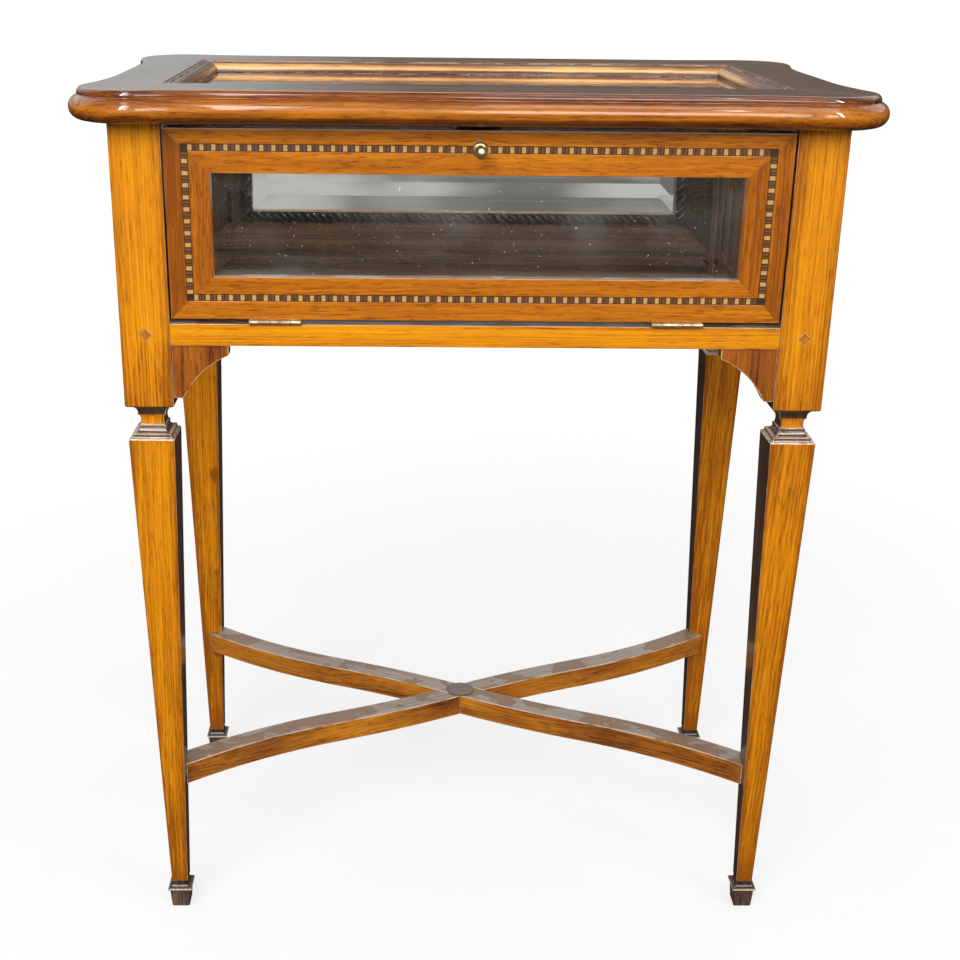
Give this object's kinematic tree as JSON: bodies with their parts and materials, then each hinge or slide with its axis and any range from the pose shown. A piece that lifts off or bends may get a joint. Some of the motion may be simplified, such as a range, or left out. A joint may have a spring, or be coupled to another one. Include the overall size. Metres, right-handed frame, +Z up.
{
  "type": "collectors display table",
  "caption": "Wooden display table: a shallow glazed case with a bevelled glass top and a drop-down glass door, on tapered legs joined by crossed curved stretchers.",
  "frame": {"origin": "on the floor, under the middle of the table", "axes": "+X along the front towards the table's right as seen from the front, +Y from the front to the back, +Z up"},
  "size_m": [0.6486, 0.389, 0.7705],
  "materials": {
    "golden_wood": "french polished, golden brown, strong straight grain",
    "foot_wood": "dark stained and polished",
    "frame_wood": "french polished, orange brown, wavy grain",
    "top_wood": "french polished, red brown",
    "bracket_wood": "polished, red brown",
    "stretcher_wood": "polished, worn grey brown on top",
    "case_wood": "stained, dull",
    "dark_wood": "ebonised, satin",
    "stringing": "light and dark chequered veneer, polished flush",
    "bevelled_glass": "clear, bevelled edges",
    "polished_brass": "polished",
    "dull_brass": "brushed and dulled",
    "magnet_steel": "plain plated steel"
  },
  "bodies": {
    "carcase": {"back_bottom_rail": "frame_wood", "back_brackets": "bracket_wood", "back_glass": "bevelled_glass", "back_left_stile": "frame_wood", "back_right_stile": "frame_wood", "back_top_rail": "frame_wood", "catch_magnet": "magnet_steel", "door_stop": "case_wood", "floor_board": "case_wood", "foot_back_left": "foot_wood", "foot_back_right": "foot_wood", "foot_front_left": "foot_wood", "foot_front_right": "foot_wood", "front_brackets": "bracket_wood", "hinge_pins": "dull_brass", "hinge_rail_leaves": "dull_brass", "hinge_rail_screws": "dull_brass", "left_bottom_rail": "frame_wood", "left_glass": "bevelled_glass", "left_left_stile": "frame_wood", "left_right_stile": "frame_wood", "left_top_rail": "frame_wood", "leg_back_left": "golden_wood", "leg_back_right": "golden_wood", "leg_front_left": "golden_wood", "leg_front_right": "golden_wood", "leg_pegs": "dark_wood", "rail_back": "golden_wood", "rail_front": "golden_wood", "rail_left": "golden_wood", "rail_right": "golden_wood", "right_bottom_rail": "frame_wood", "right_glass": "bevelled_glass", "right_left_stile": "frame_wood", "right_right_stile": "frame_wood", "right_top_rail": "frame_wood", "rope_beads": "dark_wood", "side_brackets": "bracket_wood", "stretcher_button": "bracket_wood", "stretcher_lower": "stretcher_wood", "stretcher_upper": "stretcher_wood", "top_back": "top_wood", "top_beads": "top_wood", "top_front": "top_wood", "top_glass": "bevelled_glass", "top_left": "top_wood", "top_right": "top_wood"},
    "door": {"door_bottom_rail": "frame_wood", "door_top_rail": "frame_wood", "door_left_stile": "frame_wood", "door_right_stile": "frame_wood", "door_inlay": "stringing", "door_glass": "bevelled_glass", "door_beads": "case_wood", "knob": "polished_brass", "knob_plate": "polished_brass", "hinge_door_leaves": "dull_brass", "hinge_door_screws": "dull_brass", "catch_keeper": "magnet_steel"}
  },
  "joints": [
    {"name": "door_hinge", "type": "hinge", "parent": "carcase", "child": "door", "pos_m": [0, -0.1625, 0.5845], "axis": [1, 0, 0], "range_deg": [0, 180]}
  ]
}
